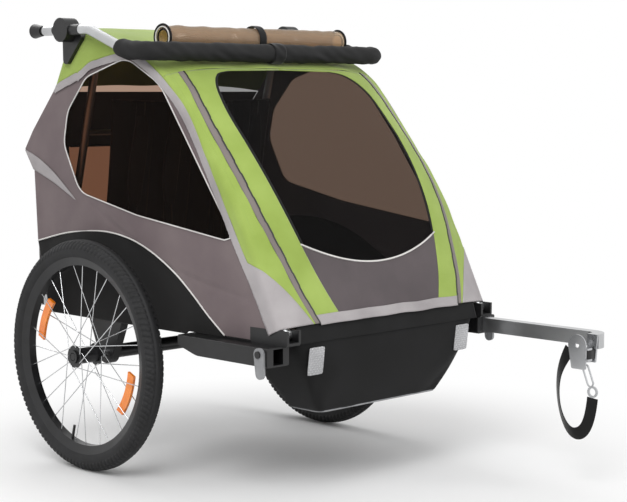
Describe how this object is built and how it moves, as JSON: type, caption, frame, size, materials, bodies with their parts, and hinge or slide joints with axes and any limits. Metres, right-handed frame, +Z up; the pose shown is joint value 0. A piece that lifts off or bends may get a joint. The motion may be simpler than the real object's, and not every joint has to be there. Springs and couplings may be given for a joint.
{
  "type": "child bicycle trailer",
  "caption": "Enclosed child cabin on a folding tube frame with side wheels, a swing-over handlebar and an offset tow bar.",
  "frame": {"origin": "on the ground under the middle of the trailer's length and width, leaving out the hanging safety strap", "axes": "+Z up, -Y is the direction of travel, +X is the trailer's left side, where the tow bar is"},
  "size_m": [0.788, 1.179, 0.973],
  "materials": {
    "silver_tube": "satin anodised",
    "black_plastic": "fine moulded texture",
    "steel": "plated",
    "black_metal": "satin black powder coat",
    "green_fabric": "coated woven polyester",
    "grey_fabric": "coated woven polyester",
    "black_fabric": "coated woven polyester",
    "brown_window": "tinted clear vinyl",
    "mesh": "open knitted screen",
    "webbing": "woven webbing",
    "foam": "closed-cell foam",
    "clear_roll": "rolled clear vinyl",
    "tyre": "matt rubber",
    "spoke": "bright",
    "amber": "moulded prism",
    "grey_plastic": "moulded",
    "seat": "padded polyester"
  },
  "bodies": {
    "chassis": {"side_rails": "silver_tube", "cross_members": "silver_tube", "axle_tube": "black_metal", "axle_brackets": "black_plastic", "corner_castings": "black_plastic", "hoop_pivots": "black_plastic", "floor_panel": "black_fabric", "nose_tub": "black_fabric", "skid_strip": "grey_plastic", "side_windows": "brown_window", "rear_panel": "grey_fabric", "rear_window": "brown_window", "seat_base": "seat", "seat_back": "seat", "harness": "webbing", "axle_pins": "steel", "left_receiver": "black_plastic", "right_receiver": "black_plastic", "left_side_panel": "grey_fabric", "right_side_panel": "grey_fabric"},
    "upper_frame": {"left_hoop": "silver_tube", "right_hoop": "silver_tube", "top_cross_tube": "silver_tube", "hub_plates": "black_plastic", "roof_panel": "green_fabric", "left_front_band": "green_fabric", "right_front_band": "green_fabric", "rain_cover_roll": "clear_roll", "roll_strap": "webbing"},
    "front_cover": {"cover_border": "green_fabric", "mesh_screen": "mesh", "lower_cover": "grey_fabric"},
    "rear_bail": {"rear_bail": "silver_tube"},
    "handlebar": {"handlebar_tube": "silver_tube", "foam_grip": "foam", "handlebar_hubs": "black_plastic", "grip_strap": "webbing"},
    "tow_bar": {"tow_bar": "silver_tube", "hitch_bracket": "steel", "hitch_flex": "black_plastic"},
    "hitch": {"hitch_plate": "steel", "hitch_pin": "steel", "safety_strap": "webbing", "strap_hardware": "steel"},
    "left_wheel": {"left_tyre": "tyre", "left_rim": "black_metal", "left_hub": "black_metal", "left_spokes": "spoke", "left_reflectors": "amber"},
    "left_plunger": {"left_plunger": "black_plastic"},
    "left_lever": {"left_lever": "grey_plastic"},
    "left_axle_button": {"left_axle_button": "black_plastic"},
    "right_wheel": {"right_tyre": "tyre", "right_rim": "black_metal", "right_hub": "black_metal", "right_spokes": "spoke", "right_reflectors": "amber"},
    "right_plunger": {"right_plunger": "black_plastic"},
    "right_lever": {"right_lever": "grey_plastic"},
    "right_axle_button": {"right_axle_button": "black_plastic"}
  },
  "joints": [
    {"name": "frame_fold", "type": "hinge", "parent": "chassis", "child": "upper_frame", "pos_m": [0, -0.2475, 0.345], "axis": [-1, 0, 0], "range_deg": [0, 33], "deforming": ["left_side_panel", "right_side_panel", "side_windows", "rear_panel", "rear_window", "seat_back", "harness"]},
    {"name": "bail_fold", "type": "hinge", "parent": "upper_frame", "child": "rear_bail", "pos_m": [0, 0.35833, 0.93232], "axis": [-1, 0, 0], "range_deg": [0, 66]},
    {"name": "handlebar_swing", "type": "hinge", "parent": "upper_frame", "child": "handlebar", "pos_m": [0, 0.3865, 0.947], "axis": [1, 0, 0], "range_deg": [-180, 0]},
    {"name": "cover_open", "type": "hinge", "parent": "upper_frame", "child": "front_cover", "pos_m": [0, 0.0829, 0.85], "axis": [-1, 0, 0], "range_deg": [0, 95]},
    {"name": "tow_bar_slide", "type": "slide", "parent": "chassis", "child": "tow_bar", "axis": [0, -1, 0], "range_m": [0, 0.2]},
    {"name": "hitch_turn", "type": "hinge", "parent": "tow_bar", "child": "hitch", "pos_m": [0.263, -0.5675, 0.281], "axis": [0, 0, 1], "range_deg": [-35, 35], "stiffness_Nm_per_rad": 2},
    {"name": "left_wheel_spin", "type": "hinge", "parent": "chassis", "child": "left_wheel", "pos_m": [0.36, 0.2975, 0.25], "axis": [1, 0, 0], "continuous": true},
    {"name": "left_button_press", "type": "slide", "parent": "chassis", "child": "left_axle_button", "axis": [-1, 0, 0], "range_m": [0, 0.003], "stiffness_N_per_m": 400, "springref_m": -0.002},
    {"name": "left_plunger_press", "type": "slide", "parent": "handlebar", "child": "left_plunger", "axis": [0, -1, 0], "range_m": [0, 0.008], "stiffness_N_per_m": 400, "springref_m": -0.003},
    {"name": "left_lever_turn", "type": "hinge", "parent": "chassis", "child": "left_lever", "pos_m": [0.348, -0.2385, 0.312], "axis": [-1, 0, 0], "range_deg": [0, 90]},
    {"name": "right_wheel_spin", "type": "hinge", "parent": "chassis", "child": "right_wheel", "pos_m": [-0.36, 0.2975, 0.25], "axis": [1, 0, 0], "continuous": true},
    {"name": "right_button_press", "type": "slide", "parent": "chassis", "child": "right_axle_button", "axis": [1, 0, 0], "range_m": [0, 0.003], "stiffness_N_per_m": 400, "springref_m": -0.002},
    {"name": "right_plunger_press", "type": "slide", "parent": "handlebar", "child": "right_plunger", "axis": [0, -1, 0], "range_m": [0, 0.008], "stiffness_N_per_m": 400, "springref_m": -0.003},
    {"name": "right_lever_turn", "type": "hinge", "parent": "chassis", "child": "right_lever", "pos_m": [-0.348, -0.2385, 0.312], "axis": [-1, 0, 0], "range_deg": [0, 90]}
  ],
  "couplings": [
    {"joint": "bail_fold", "follows": "frame_fold", "ratio": 2}
  ]
}
